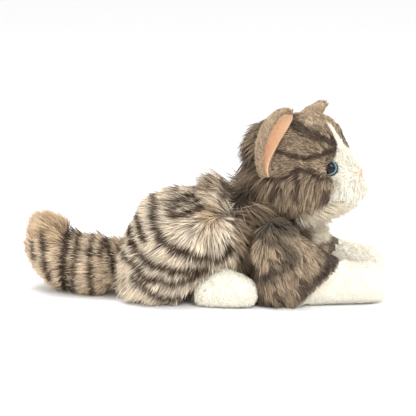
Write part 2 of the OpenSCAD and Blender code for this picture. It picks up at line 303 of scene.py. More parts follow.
def evaluated_mesh(obj):
    graph = bpy.context.evaluated_depsgraph_get()
    return bpy.data.meshes.new_from_object(obj.evaluated_get(graph), depsgraph=graph)


def applied(obj):
    """The object's mesh with its modifiers applied, in place of the object."""
    mesh = evaluated_mesh(obj)
    bpy.data.objects.remove(obj)
    return mesh


def largest_island(mesh):
    """Keeps only the outermost surface, which is the part of the mesh with the most faces."""
    shape = bmesh.new()
    shape.from_mesh(mesh)
    left = set(shape.verts)
    best = []
    while left:
        start = left.pop()
        island = [start]
        stack = [start]
        while stack:
            for edge in stack.pop().link_edges:
                for vert in edge.verts:
                    if vert in left:
                        left.remove(vert)
                        island.append(vert)
                        stack.append(vert)
        best = max(best, island, key=len)
    keep = set(best)
    bmesh.ops.delete(shape, geom=[v for v in shape.verts if v not in keep], context="VERTS")
    shape.to_mesh(mesh)
    shape.free()


def vectors(items, key):
    flat = np.zeros(len(items) * 3, np.float32)
    items.foreach_get(key, flat)
    return flat.reshape(-1, 3).astype(float)


def coordinates(mesh):
    return vectors(mesh.vertices, "co")


def normals_of(mesh):
    return vectors(mesh.vertex_normals, "vector")


def set_coordinates(mesh, points):
    mesh.vertices.foreach_set("co", points.astype(np.float32).ravel())
    mesh.update()


def remeshed(name, nodes, voxel=VOXEL):
    """One closed, evenly meshed surface round these CAD nodes."""
    rough = joined_copy(name, nodes)
    modifier = rough.modifiers.new("remesh", "REMESH")
    modifier.mode = "VOXEL"
    modifier.voxel_size = voxel
    softened = rough.modifiers.new("soften", "SMOOTH")
    softened.iterations = SOFTEN_ROUNDS
    mesh = applied(rough)
    largest_island(mesh)
    return link(name, mesh)


def puffed(obj, tuck, cap):
    """Blows the skin up like a stuffed cover: it starts tucked in, and no point moves more than cap."""
    mesh = obj.data
    start = coordinates(mesh) - normals_of(mesh) * tuck
    set_coordinates(mesh, start)
    cloth = obj.modifiers.new("cloth", "CLOTH")
    fabric = cloth.settings
    fabric.quality = 5
    fabric.mass = 0.3
    fabric.tension_stiffness = PUFF_STRETCH
    fabric.compression_stiffness = PUFF_STRETCH
    fabric.bending_stiffness = PUFF_BEND
    fabric.use_pressure = True
    fabric.uniform_pressure_force = PUFF_PRESSURE
    fabric.effector_weights.gravity = 0
    cloth.point_cache.frame_end = PUFF_STEPS
    for step in range(1, PUFF_STEPS + 1):
        bpy.context.scene.frame_set(step)
    blown = coordinates(evaluated_mesh(obj))
    obj.modifiers.remove(cloth)
    move = blown - start
    far = np.linalg.norm(move, axis=1, keepdims=True)
    set_coordinates(mesh, start + move * np.minimum(1, cap / np.maximum(far, 1e-9)))
    bpy.context.scene.frame_set(1)
    return obj


def fitted(skin, nodes, inset):
    """Scales the skin to fill the box round these CAD nodes, less the inset except at the floor."""
    boxes = [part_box(node) for node in nodes]
    low = np.min([tuple(box[0]) for box in boxes], axis=0)
    high = np.max([tuple(box[1]) for box in boxes], axis=0)
    low[:2] += inset
    low[2] = max(low[2], FLOOR_CLEAR)
    high -= inset
    points = coordinates(skin.data)
    share = (points - points.min(0)) / (points.max(0) - points.min(0))
    set_coordinates(skin.data, low + share * (high - low))
    return skin


def stuffed(name, nodes, covers, voxel=VOXEL, tuck=0.8 * MM, cap=1.0 * MM, inset=0.3 * MM):
    """The skin round these CAD nodes, blown up and then fitted to the covers among them."""
    return fitted(puffed(remeshed(name, nodes, voxel), tuck, cap), covers, inset)


def surface_tree(mesh):
    """A search tree over the mesh's faces."""
    return BVHTree.FromPolygons([v.co for v in mesh.vertices], [p.vertices for p in mesh.polygons])


def distances(tree, spots):
    """How far each spot is from the surface in the tree."""
    return np.array([tree.find_nearest(Vector(spot))[3] for spot in spots])


def distances_to(node, spots):
    """How far each spot is from a CAD node's surface."""
    return distances(surface_tree(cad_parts[node].data), spots)


def panels(skin, nodes):
    """Divides the skin's faces between the nearest CAD covers: {node: (points, normals, faces)}."""
    mesh = skin.data
    points, normals = coordinates(mesh), normals_of(mesh)
    faces = [tuple(face.vertices) for face in mesh.polygons]
    middles = [face.center for face in mesh.polygons]
    away = [distances_to(node, middles) for node in nodes]
    owner = np.argmin(away, axis=0)
    parts = {}
    for index, node in enumerate(nodes):
        chosen = [face for face, own in zip(faces, owner) if own == index]
        parts[node] = (points, normals, chosen)
    bpy.data.objects.remove(skin)
    return parts


# ---------------------------------------------------------------- pile: strands rooted in a skin
ROOT_DEPTH = 0.4 * MM
WAVE_TURN = 5.0
ROLL = 0.6


def scattered(part, spacing, rng):
    """Random places on the part's faces, one for each spacing squared: (roots, normals)."""
    points, normals, faces = part
    corners = np.array([face[i:i + 1] + face[j:j + 1] + face[k:k + 1]
                        for face in faces for i, j, k in ((0, 1, 2), (0, 2, 3))[: len(face) - 2]])
    a, b, c = (points[corners[:, i]] for i in range(3))
    area = np.linalg.norm(np.cross(b - a, c - a), axis=1) / 2
    count = int(area.sum() / spacing**2)
    pick = rng.choice(len(corners), count, p=area / area.sum())
    u, v = rng.random((2, count, 1))
    flip = u + v > 1
    u, v = np.where(flip, 1 - u, u), np.where(flip, 1 - v, v)
    weights = (1 - u - v, u, v)
    roots = sum(w * points[corners[pick, i]] for i, w in enumerate(weights))
    normal = sum(w * normals[corners[pick, i]] for i, w in enumerate(weights))
    return roots, unit(normal)


def tufts(roots, size, rng):
    """Groups the roots round random tuft middles: (index of each root's tuft, the middles)."""
    count = max(1, int(len(roots) * size))
    middles = roots[rng.choice(len(roots), count, replace=False)]
    tree = KDTree(count)
    for index, middle in enumerate(middles):
        tree.insert(middle, index)
    tree.balance()
    return np.array([tree.find(root)[1] for root in roots]), middles


def grown(roots, normals, flow, length, style, rng):
    """The strands' centre lines, (strand, step, xyz), and each one's tone and share of full length."""
    count = len(roots)
    group, middles = tufts(roots, style["share"], rng)
    sway = rng.normal(0, style["tuft_sway"], (len(middles), 3))[group]
    sway += rng.normal(0, style["stray"], (count, 3))
    heading = unit(flow + sway)
    start = unit(normals * style["lift"] + heading)
    end = unit(normals * style["lie"] + heading - UP * style["droop"])
    reach = length * rng.uniform(0.75, 1.15, count) * rng.uniform(0.85, 1.15, len(middles))[group]
    steps = style["steps"]
    lines = [roots - normals * ROOT_DEPTH]
    for step in range(steps):
        t = (step + 0.5) / steps
        lines.append(lines[-1] + unit(start * (1 - t) + end * t) * (reach / steps)[:, None])
    lines = np.stack(lines, 1)
    t = np.linspace(0, 1, steps + 1)
    part_length = np.clip(length / style["length"], 0, 1)
    gather = style["gather"] * part_length[:, None] ** 1.5 * t[None, :] ** 1.3
    lines -= (roots - middles[group])[:, None, :] * gather[:, :, None]
    if style["wave"]:
        side = unit(np.cross(normals, heading))
        phase = rng.uniform(0, 2 * np.pi, len(middles))[group]
        swing = np.sin(phase[:, None] + t[None, :] * WAVE_TURN) * t[None, :]
        swing *= style["wave"] * part_length[:, None]
        lines += side[:, None, :] * swing[:, :, None]
    lines[:, :, 2] = np.maximum(lines[:, :, 2], FLOOR_CLEAR)
    tone = 0.5 * rng.random(len(middles))[group] + 0.5 * rng.random(count)
    return lines, tone, part_length


def ribbons(lines, normals, width, rng):
    """Tapered ribbons along the centre lines.

    Returns their points, the corners of their four-sided faces and of their tips, how far along
    its strand each point is, and the number of points in a strand.
    """
    count, stops = lines.shape[:2]
    heading = unit(lines[:, -1] - lines[:, 0])
    side = unit(np.cross(heading, normals))
    other = np.cross(side, heading)
    roll = rng.normal(0, ROLL, (count, 1))
    side = side * np.cos(roll) + other * np.sin(roll)
    t = np.linspace(0, 1, stops)
    taper = np.sin(np.pi * (0.3 + 0.7 * t)) ** 0.6
    half = width * 0.5 * rng.uniform(0.7, 1.2, count)[:, None, None] * taper[None, :, None]
    left = lines - side[:, None, :] * half
    right = lines + side[:, None, :] * half
    pairs = np.stack([left[:, :-1], right[:, :-1]], 2).reshape(count, -1, 3)
    points = np.concatenate([pairs, lines[:, -1:]], 1)
    each = points.shape[1]
    base = np.arange(count)[:, None] * each
    quads = [base + np.array((2 * s, 2 * s + 1, 2 * s + 3, 2 * s + 2)) for s in range(stops - 2)]
    tips = base + np.array((each - 3, each - 2, each - 1))
    quads = np.stack(quads, 1).reshape(-1, 4)
    step_of = np.concatenate([np.repeat(t[:-1], 2), t[-1:]])
    return points.reshape(-1, 3), quads, tips, np.tile(step_of, count), each


def raw_mesh(name, points, loops, sizes):
    """A smooth mesh from its points, all the faces' corners in a row, and each face's size."""
    mesh = bpy.data.meshes.new(name)
    mesh.vertices.add(len(points))
    mesh.vertices.foreach_set("co", points.astype(np.float32).ravel())
    mesh.loops.add(len(loops))
    mesh.loops.foreach_set("vertex_index", loops.astype(np.int32))
    mesh.polygons.add(len(sizes))
    starts = np.concatenate([[0], np.cumsum(sizes)[:-1]])
    mesh.polygons.foreach_set("loop_start", starts.astype(np.int32))
    mesh.polygons.foreach_set("loop_total", sizes.astype(np.int32))
    mesh.polygons.foreach_set("use_smooth", np.ones(len(sizes), bool))
    mesh.update(calc_edges=True)
    return mesh


def pile_mesh(name, part, strands, tone, share, stray, looks):
    """One mesh of the cover's backing and its pile, with the attributes that the material reads."""
    skin_points, _, skin_faces = part
    used = sorted({index for face in skin_faces for index in face})
    place = {old: new for new, old in enumerate(used)}
    backing = skin_points[used]
    strand_points, quads, tips, along, each = strands
    offset = len(backing)
    points = np.concatenate([backing, strand_points])
    faces = [[place[i] for i in face] for face in skin_faces]
    sizes = np.array([len(face) for face in faces] + [4] * len(quads) + [3] * len(tips))
    corners = np.array([i for face in faces for i in face])
    loops = np.concatenate([corners, (quads + offset).ravel(), (tips + offset).ravel()])
    mesh = raw_mesh(name, points, loops, sizes)
    aside = np.concatenate([np.zeros((offset, 3)), np.repeat(stray, each, axis=0)])
    values = dict(zip(("mark", "zone", "white"), looks(points + aside)))
    depth = np.repeat(share, each) * (1 - along)
    # painted shade: the backing takes the root colour of the pile's depth and a lower tone, so that it
    # reads as shade between the strands
    values["along"] = np.concatenate([np.full(offset, 1 - share.mean()), 1 - depth])
    values["tone"] = np.concatenate([np.full(offset, 0.3), np.repeat(tone, each)])
    for key, value in values.items():
        layer = mesh.attributes.new(key, "FLOAT", "POINT")
        layer.data.foreach_set("value", value.astype(np.float32))
    add_cells(mesh, faces, len(tone), each)
    return mesh


def add_cells(mesh, faces, strands, each):
    """A UV layer in which each backing face and each strand has a small square of its own."""
    rows = math.ceil(math.sqrt(len(faces) + strands))
    corner = np.array(((0.2, 0.2), (0.8, 0.2), (0.8, 0.8), (0.2, 0.8)))
    spots = [corner[: len(face)] + (index % rows, index // rows) for index, face in enumerate(faces)]
    cell = np.arange(len(faces), len(faces) + strands)
    origin = np.stack([cell % rows, cell // rows], 1)
    steps = (each - 1) // 2
    t = np.linspace(0.15, 0.85, steps + 1)
    spot = [(0.3 + 0.4 * (i % 2), t[i // 2]) for i in range(each - 1)] + [(0.5, t[-1])]
    table = np.array(spot)[None] + origin[:, None]
    quad = [table[:, [2 * s, 2 * s + 1, 2 * s + 3, 2 * s + 2]] for s in range(steps - 1)]
    quads = np.stack(quad, 1).reshape(-1, 2)
    tips = table[:, [each - 3, each - 2, each - 1]].reshape(-1, 2)
    layer = mesh.uv_layers.new(name="OFBake")
    uv = np.concatenate([np.concatenate(spots), quads, tips]) / rows
    layer.data.foreach_set("uv", uv.astype(np.float32).ravel())


def add_cover(node, part, material, style, comb, looks, seed, spare=None, fill=0.8):
    """The sewn cover that stands for one CAD node: backing cloth with its pile."""
    rng = np.random.default_rng(seed)
    roots, normals = scattered(part, style["spacing"], rng)
    if spare is not None:
        keep = spare(roots)
        roots, normals = roots[keep], normals[keep]
    flow, length = comb(roots, normals)
    flow = unit(flow - normals * dot(flow, normals))
    lines, tone, share = grown(roots, normals, flow, length * style["length"], style, rng)
    strands = ribbons(lines, normals, style["width"], rng)
    stray = rng.normal(0, style["ragged"], (len(roots), 3))
    obj = link("cover_" + node, pile_mesh(node, part, strands, tone, share, stray, looks))
    obj.data.materials.append(material)
    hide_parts(node)
    node_slot(node)
    return obj


def node_slot(node):
    """The record's material slot of a CAD node, which its glTF material is named after."""
    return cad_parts[node].data.materials[0].name.split(".")[0]


# ---------------------------------------------------------------- pile styles
# spacing, length, width and wave are of the strands; share is how many tufts there are to a strand;
# tuft_sway and stray turn tufts and strands aside; lift and lie are how far root and tip stand up;
# droop pulls the tips down, gather draws a tuft together, and ragged blurs the edges of markings
LONG = dict(
    spacing=0.85 * MM, length=19 * MM, width=0.65 * MM, steps=4, share=0.035, tuft_sway=0.12,
    stray=0.1, lift=0.55, lie=0.06, droop=0.08, gather=0.5, wave=0.0, ragged=0.9 * MM,
)
BACK = dict(LONG, length=21 * MM, lift=0.9, lie=0.2)
TAIL = dict(LONG, length=16 * MM, lift=0.85, lie=0.25, droop=0.0, gather=0.35, stray=0.12)
WAVY = dict(
    LONG, length=15 * MM, lift=0.6, droop=0.15, wave=1.4 * MM, gather=0.5, share=0.03, tuft_sway=0.22,
    spacing=0.76 * MM, width=0.55 * MM,
)
MANE = dict(
    LONG, length=17 * MM, spacing=0.8 * MM, lift=0.6, droop=0.2, gather=0.55, tuft_sway=0.14,
    ragged=0.6 * MM,
)
SHORT = dict(
    spacing=0.7 * MM, length=6 * MM, width=0.55 * MM, steps=2, share=0.07, tuft_sway=0.2,
    stray=0.2, lift=0.8, lie=0.3, droop=0.0, gather=0.35, wave=0.0, ragged=0.6 * MM,
)
FLUFF = dict(SHORT, length=12 * MM, steps=3, spacing=0.66 * MM, share=0.05, tuft_sway=0.15, stray=0.15)
RUFF = dict(FLUFF, length=19 * MM, steps=4, lift=0.9, lie=0.5, spacing=0.58 * MM)
PLUSH = dict(SHORT, spacing=0.55 * MM, length=3.4 * MM, lift=0.5, lie=0.2, tuft_sway=0.12)
VELVET = dict(SHORT, length=2.4 * MM, spacing=0.62 * MM, lift=1.2, lie=0.5, gather=0.0, share=0.02)


# ---------------------------------------------------------------- markings
# A stripe is a line of (x, z) places and a width, in millimetres. A looks function gives each point
# the strength of its marks, which in places hold painted shade, the share of the deep ground
# colour, and the share of white.


def near_line(x, z, points, width, soft=0.8):
    """1 on the line through the points, in millimetres, falling to 0 at its soft edge."""
    best = np.full(len(x), 1e9)
    line = np.array(points, float) * MM
    for (x0, z0), (x1, z1) in zip(line[:-1], line[1:]):
        run = np.array((x1 - x0, z1 - z0))
        t = np.clip(((x - x0) * run[0] + (z - z0) * run[1]) / (run @ run), 0, 1)
        best = np.minimum(best, np.hypot(x - x0 - t * run[0], z - z0 - t * run[1]))
    half = width * MM / 2
    return 1 - smooth(best, half - soft * MM, half + soft * MM)


def striped(x, z, stripes, soft=0.8):
    """How strongly the stripes mark each place."""
    mark = np.zeros(len(x))
    for line, width in stripes:
        mark = np.maximum(mark, near_line(x, z, line, width, soft))
    return mark


def waver(points, size, amount):
    """A slow, even wobble of positions, so that printed edges aren't ruled."""
    x, y, z = (points / size).T
    return np.stack([np.sin(3 * z + 5 * y), np.zeros(len(x)), np.sin(4 * x + 3 * y + 1)], 1) * amount


# x and z, in millimetres, of the middle of the haunch's whorl and of its golden spot
WHORL = (4, 77)
GOLDEN = (3, 74)
BODY_STRIPES = (
    (((-44, 77), (-41, 63), (-34, 54), (-24, 48), (-7, 42), (11, 38), (21, 48)), 7.0),
    (((-66, 57), (-57, 47), (-48, 38), (-32, 32), (-19, 30), (1, 31)), 7.0),
    (((-70, 42), (-56, 32), (-48, 24), (-28, 20), (-11, 23), (2, 31)), 6.0),
    (((-58, 22), (-40, 8), (-19, 3), (-12, 8)), 6.0),
    (((-58, 66), (-49, 54)), 6.0),
    (((-31, 76), (-22, 82), (-10, 84)), 5.0),
    (((-25, 73), (-14, 76), (-4, 80)), 5.5),
    (((-47, 85), (-41, 78)), 5.0),
    (((-30, 97), (-26, 88)), 5.0),
    (((-12, 100), (-9, 92)), 5.0),
    (((0, 100), (2, 92)), 4.5),
    (((18, 100), (13, 86)), 6.0),
    (((28, 90), (24, 70), (27, 50)), 4.0),
)


def body_looks(points):
    x, _, z = (points + waver(points, 12 * MM, 0.8 * MM)).T
    mark = striped(x, z, BODY_STRIPES)
    golden = np.hypot(x - GOLDEN[0] * MM, z - GOLDEN[1] * MM)
    zone = 0.7 * (1 - smooth(golden, 5 * MM, 15 * MM))
    zone = np.maximum(zone, 0.7 * smooth(x, 18 * MM, 30 * MM))
    zone = np.maximum(zone, 0.5 * smooth(z, 86 * MM, 94 * MM))
    # The flank is marked darker over its deeper ground: partly its own darker fur and partly painted
    # shade of its recess between haunch and shoulder
    flank = smooth(x, 22 * MM, 32 * MM) * (1 - smooth(z, 70 * MM, 84 * MM))
    return np.maximum(mark * (1 - flank), 0.6 * flank), zone, np.zeros(len(x))


TAIL_HEART = np.array((-118, 9, 27)) * MM
TAIL_BANDS = (
    (((-144, 40), (-143, 28)), 4.0),
    (((-135, 50), (-133, 30), (-130, 12)), 5.0),
    (((-110, 58), (-115, 44), (-117, 30), (-118, 4)), 6.5),
    (((-104, 56), (-107, 36), (-109, 24), (-110, 4)), 5.0),
    (((-93, 54), (-95, 40), (-95, 24), (-94, 2)), 4.5),
    (((-84, 48), (-87, 34)), 4.0),
    (((-81, 44), (-77, 30), (-73, 15), (-70, 2)), 4.5),
    (((-70, 38), (-66, 25), (-60, 10)), 4.5),
)


def tail_looks(points):
    x, _, z = (points + waver(points, 12 * MM, 0.8 * MM)).T
    golden = smooth(z, 38 * MM, 48 * MM) * (1 - smooth(x, -118 * MM, -112 * MM))
    return striped(x, z, TAIL_BANDS), 0.45 * golden, np.zeros(len(x))


# The sleeve turns white at its cuff, a slanted line through the place CUFF (x and z, in millimetres)
# on the outer side of the leg, and CUFF_INNER millimetres further forward on its inner side
CUFF = (85.6, 13)
CUFF_SLANT = 0.98
CUFF_INNER = 15


def innermost(y):
    """1 on the inner side of the front legs and 0 on the outer side."""
    return 1 - smooth(np.abs(y), 36 * MM, 48 * MM)


def shoulder_looks(points):
    x, y, z = points.T
    wave = 0.5 + 0.5 * np.sin(x / (7 * MM) + 2.2 * np.sin(z / (9 * MM)) + y / (11 * MM))
    mark = 0.12 + 0.6 * smooth(wave, 0.4, 0.9) + 0.2 * smooth(x, 80 * MM, 94 * MM)
    # painted shadow: the top of the shoulder and sleeve is darkened where the cheek's fur shades it
    mark = np.maximum(mark, 0.8 * smooth(z, 50 * MM, 64 * MM))
    cuff = x - CUFF[0] * MM - CUFF_SLANT * (z - CUFF[1] * MM) - CUFF_INNER * MM * innermost(y)
    return mark, 0.5 - 0.4 * smooth(z, 10 * MM, 40 * MM), smooth(cuff, -1.2 * MM, 1.2 * MM)


def bib_looks(points):
    """The bib, white above and brown between the legs."""
    mark, zone, _ = shoulder_looks(points)
    return mark, zone, smooth(points[:, 2], 43 * MM, 47 * MM)


def white_looks(points):
    still = np.zeros(len(points))
    return still, still, still + 1


# ---------------------------------------------------------------- the head's own directions
EYE_MIDDLE = (centre("eye_left") + centre("eye_right")) / 2
LEFTWARD = unit(centre("eye_left") - centre("eye_right"))
FORWARD = np.cross(LEFTWARD, UP)
HEAD_MIDDLE = EYE_MIDDLE - FORWARD * 30 * MM + UP * 1.4 * MM
NOSE = centre("nose_stitching")


def in_face(points):
    """Forward, left and up of the head's middle."""
    away = points - HEAD_MIDDLE
    return away @ FORWARD, away @ LEFTWARD, away @ UP


def from_face(forward, left, up):
    return HEAD_MIDDLE + FORWARD * forward * MM + LEFTWARD * left * MM + UP * up * MM


# As (forward, up) of the head's middle
HEAD_STRIPES = (
    (((-6, 41), (1, 40)), 4.0),
    (((-3, 36), (5, 32), (11, 29), (20, 25)), 7.0),
    (((20, 25), (29, 21), (35, 17)), 5.0),
    (((-10, 13), (-2, 12), (6, 9), (14, 8), (23, 10), (29, 12), (35, 14)), 4.5),
    (((-15, -11), (-1, -8), (4, -4), (10, -1), (18, -2), (23, -7)), 4.5),
    (((23, -7), (30, -9), (36, -14)), 2.0),
    (((35, 20), (36, 12), (35, 8)), 3.5),
    (((8, -5), (9, -14), (8, -28)), 5.0),
    (((29, -20), (28, -32)), 5.0),
    (((-8, -15), (-14, -28)), 7.0),
)
# How far the white face reaches to each side of the head's middle line, at these heights
FACE_EDGE_UP = np.array((-60, -30, -15, -2, 7, 12, 19, 26, 32, 37)) * MM
FACE_EDGE_RIGHT = np.array((24, 21.5, 23.5, 24.5, 21.5, 15.5, 11, 9, 8, 2)) * MM
FACE_EDGE_LEFT = np.array((24, 21.5, 23.5, 24.5, 20, 3, 0, -1, -2, -6)) * MM


def head_looks(points):
    forward, left, up = in_face(points + waver(points, 9 * MM, 0.6 * MM))
    mark = striped(forward, up, HEAD_STRIPES, 1.1) * smooth(np.abs(left), 5 * MM, 12 * MM)
    nape = 1 - smooth(forward, -32 * MM, -14 * MM)
    streak = 0.5 + 0.5 * np.sin(up / (4.5 * MM) + 1.5 * np.sin(left / (7 * MM)))
    mark = np.maximum(0.9 * mark, nape * (0.3 + 0.5 * streak))
    beyond_left = left - np.interp(up, FACE_EDGE_UP, FACE_EDGE_LEFT)
    beyond_right = -left - np.interp(up, FACE_EDGE_UP, FACE_EDGE_RIGHT)
    beyond = np.maximum(beyond_left, beyond_right)
    white = (1 - smooth(beyond, -0.8 * MM, 0.8 * MM)) * smooth(forward, 4 * MM, 8 * MM)
    deep = 0.5 - 0.35 * smooth(up, 27 * MM, 36 * MM)
    return mark * (1 - white), deep, white


# ---------------------------------------------------------------- combs
# A comb function gives, at each root, the direction the pile lies in and the share of its full length.


def alike(direction, roots):
    """The same direction at each root."""
    return np.tile(np.array(direction, float), (len(roots), 1))


def body_comb(roots, normals):
    x, _, z = roots.T
    radial = np.stack([x - WHORL[0] * MM, 0 * x, z - WHORL[1] * MM], 1)
    away = np.linalg.norm(radial, axis=1)
    radial = unit(radial)
    back = np.array((-1.0, 0, 0.3))
    top = smooth(normals[:, 2], 0.45, 0.75)[:, None]
    flow = radial * (1 - top) + back * top
    flank = smooth(x, 20 * MM, 32 * MM)[:, None]
    flow = flow * (1 - flank) + np.array((0.5, 0, -0.8)) * flank
    length = 0.55 + 0.45 * smooth(away, 2 * MM, 16 * MM)
    length *= 1 + 0.5 * smooth(x, 0 * MM, 26 * MM) * top[:, 0]
    length *= 1 - 0.75 * smooth(-x, 20 * MM, 55 * MM) * (1 - smooth(z, 4 * MM, 20 * MM))
    length *= 1 - 0.4 * smooth(-normals[:, 2], 0.5, 0.9)
    length *= 1 - 0.5 * smooth(-x, 28 * MM, 52 * MM) * smooth(normals[:, 2], 0.0, 0.5)
    length *= 1 - 0.35 * flank[:, 0] * (1 - top[:, 0])
    return flow, length


def shoulder_comb(roots, normals):
    return alike((0.5, 0, -0.85), roots), 1 - 0.5 * smooth(-normals[:, 2], 0.4, 0.9)


def bib_comb(roots, normals):
    flow, length = shoulder_comb(roots, normals)
    return flow + np.array((0.4, 0, 0)), length * (0.4 + 0.6 * smooth(roots[:, 2], 44 * MM, 54 * MM))


def tail_comb(roots, normals):
    x = roots[:, 0]
    tip = smooth(-x, 118 * MM, 136 * MM)[:, None]
    flow = alike((-1, 0, 0), roots) * (1 - tip) + unit(roots - TAIL_HEART) * tip
    crest = smooth(normals[:, 2], 0.0, 0.7) * smooth(-x, 95 * MM, 115 * MM)
    length = 0.95 + 0.2 * crest - 0.15 * tip[:, 0]
    return flow, length * (1 - 0.5 * smooth(-normals[:, 2], 0.1, 0.7))


def head_comb(roots, normals):
    forward, left, up = in_face(roots)
    flow = unit(roots - NOSE)
    low = (1 - smooth(up, -10 * MM, 0 * MM))[:, None]
    flow = flow * (1 - 0.85 * low) - UP * low
    behind = (1 - smooth(forward, -24 * MM, -10 * MM))[:, None]
    flow = flow * (1 - behind) + behind * np.array((-0.85, 0, -0.6))
    length = 0.26 + 0.74 * low[:, 0]
    nape = behind[:, 0] * (1.3 + 0.75 * (1 - smooth(up, -8 * MM, 12 * MM)))
    brow = smooth(forward, 22 * MM, 30 * MM) * smooth(up, 8 * MM, 14 * MM)
    brow *= smooth(np.abs(left), 9 * MM, 15 * MM)
    return flow, np.maximum(np.maximum(length, nape), 0.55 * brow)


def face_comb(roots, normals):
    _, _, up = in_face(roots)
    flow = unit(roots - NOSE)
    low = (1 - smooth(up, -22 * MM, -4 * MM))[:, None]
    flow = flow * (1 - 0.7 * low) - UP * low
    near = np.linalg.norm(roots - NOSE, axis=1)
    length = (0.42 + 0.3 * low[:, 0]) * (0.5 + 0.5 * smooth(near, 3 * MM, 8 * MM))
    length *= 1 - 0.4 * smooth(up, 4 * MM, 14 * MM)
    return flow, length


def throat_comb(roots, normals):
    return alike(FORWARD * 0.9 - UP * 0.6, roots), np.ones(len(roots))


def paw_comb(roots, normals):
    return alike((1, 0, -0.15), roots), np.ones(len(roots))


def apart(trees, roots, reach):
    """Which roots are further than reach from all of these surfaces."""
    held = np.ones(len(roots), bool)
    for tree in trees:
        held &= distances(tree, roots) > reach
    return held


def clear_of(spots, roots):
    """Which roots are further than its reach from each of these (place, reach) spots."""
    held = np.ones(len(roots), bool)
    for place, reach in spots:
        held &= np.linalg.norm(roots - place, axis=1) > reach
    return held


# ---------------------------------------------------------------- the parts
# The seed of each group of covers' pile; a group's later covers count on from it
SEEDS = {
    "torso": 100, "backs": 110, "shoulders": 120, "bib": 130, "neck": 150,
    "leg_right": 200, "paw_right": 205, "leg_left": 220, "paw_left": 225,
    "foot_right": 300, "foot_left": 310, "head": 400, "face": 410, "throat": 430,
    "tail_base_cover": 500, "tail_tip_cover": 501, "ear_right": 600, "ear_left": 610,
}
TOES = 4
TOE_GROOVE = 1.6 * MM


def both(*names):
    return [f"{name}_{side}" for name in names for side in SIDES]


def taken(parts, *nodes):
    """These nodes' parts, taken out of the others."""
    return {node: parts.pop(node) for node in nodes}


def add_covers(parts, group, body, material, style, comb, looks, **more):
    """Covers for these parts of a skin, all alike, that ride on the body if there is one."""
    made = []
    for index, (node, part) in enumerate(parts.items()):
        obj = add_cover(node, part, material, style, comb, looks, SEEDS[group] + index, **more)
        if body:
            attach(obj, body)
        made.append(obj)
    return made


def add_torso():
    covers = both("back_panel", "shoulder_panel", "thigh_cover") + ["belly_panel", "chest_bib"]
    nodes = covers + both("thigh_stuffing") + ["torso_stuffing"]
    skin = stuffed("torso", nodes, covers, tuck=1.0 * MM, cap=1.2 * MM, inset=0.5 * MM)
    parts = panels(skin, covers)
    shoulders = taken(parts, *both("shoulder_panel"))
    bib = taken(parts, "chest_bib")
    backs = taken(parts, *both("back_panel"))
    add_covers(parts, "torso", "torso", TABBY, LONG, body_comb, body_looks)
    add_covers(backs, "backs", "torso", TABBY, BACK, body_comb, body_looks)
    add_covers(shoulders, "shoulders", "torso", BROWN, WAVY, shoulder_comb, shoulder_looks)
    add_covers(bib, "bib", "torso", BROWN, FLUFF, bib_comb, bib_looks)


def add_neck():
    parts = panels(remeshed("neck", ["neck_stuffing"]), ["neck_stuffing"])
    add_covers(parts, "neck", "neck", HEAD_PILE, MANE, head_comb, head_looks)


def add_leg(side):
    sleeve, paw, body = "sleeve_" + side, "front_paw_" + side, "front_leg_" + side
    skin = stuffed("leg", [sleeve, paw, "leg_stuffing_" + side], [sleeve, paw])
    parts = panels(toed(skin), [sleeve, paw])

    def sleeve_comb(roots, normals):
        flow, length = shoulder_comb(roots, normals)
        shortest = 0.2 + 0.2 * innermost(roots[:, 1])
        wrist = distances_to(paw, roots)
        length = length * (shortest + (1 - shortest) * smooth(wrist, 2 * MM, 26 * MM))
        upper = smooth(normals[:, 2], 0.1, 0.7) * smooth(roots[:, 0], 56 * MM, 72 * MM)
        return flow, length * (1 - 0.6 * upper)

    paws = taken(parts, paw)
    add_covers(parts, "leg_" + side, body, BROWN, WAVY, sleeve_comb, shoulder_looks)
    add_covers(paws, "paw_" + side, body, WHITE, VELVET, paw_comb, white_looks)


def add_foot(side):
    node = "hind_foot_" + side
    skin = stuffed("foot", [node, "foot_stuffing_" + side], [node], FINE_VOXEL)
    body = "foot_" + side
    add_covers(panels(toed(skin), [node]), body, body, WHITE, VELVET, paw_comb, white_looks)


def toed(skin):
    """Presses the shallow grooves between the toes into the front end of a paw."""
    mesh = skin.data
    points, normals = coordinates(mesh), normals_of(mesh)
    low, high = points.min(0), points.max(0)
    across = (points[:, 1] - low[1]) / (high[1] - low[1])
    groove = np.clip(-np.cos(2 * np.pi * TOES * across), 0, 1) ** 3
    groove *= smooth(across, 0.16, 0.24) * (1 - smooth(across, 0.76, 0.84))
    front = smooth(points[:, 0], high[0] - 13 * MM, high[0] - 4 * MM)
    set_coordinates(mesh, points - normals * (groove * front)[:, None] * TOE_GROOVE)
    return skin


NOSE_DENT = 2.4 * MM


def add_head():
    covers = both("head_side") + ["crown_panel", "blaze_panel", "throat_panel", "muzzle_panel"]
    skin = stuffed("head", covers + ["head_stuffing"], covers, FINE_VOXEL)
    points = coordinates(skin.data)
    near = 1 - smooth(np.linalg.norm(points - NOSE, axis=1), 2 * MM, 9 * MM)
    set_coordinates(skin.data, points - FORWARD * near[:, None] * NOSE_DENT)
    parts = panels(skin, covers)
    bare = [(centre("eye_" + side), 5.0 * MM) for side in SIDES] + [(NOSE, 3.2 * MM)]

    def spare(roots):
        return clear_of(bare, roots) & apart(EAR_LININGS, roots, 4 * MM)

    face = taken(parts, "blaze_panel", "muzzle_panel")
    throat = taken(parts, "throat_panel")
    add_covers(parts, "head", "head", HEAD_PILE, MANE, head_comb, head_looks, spare=spare)
    add_covers(face, "face", "head", HEAD_PILE, FLUFF, face_comb, head_looks, spare=spare)
    add_covers(throat, "throat", "head", CREAM, RUFF, throat_comb, white_looks)


def fattened(skin):
    """Makes the tail as thick where it leaves the rump as further out."""
    points = coordinates(skin.data)
    swell = 1 + 0.2 * smooth(points[:, 0], -112 * MM, -94 * MM)
    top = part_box("tail_base_cover")[1].z
    points[:, 2] = np.maximum(top + (points[:, 2] - top) * swell, FLOOR_CLEAR)
    points[:, 1] *= swell
    set_coordinates(skin.data, points)


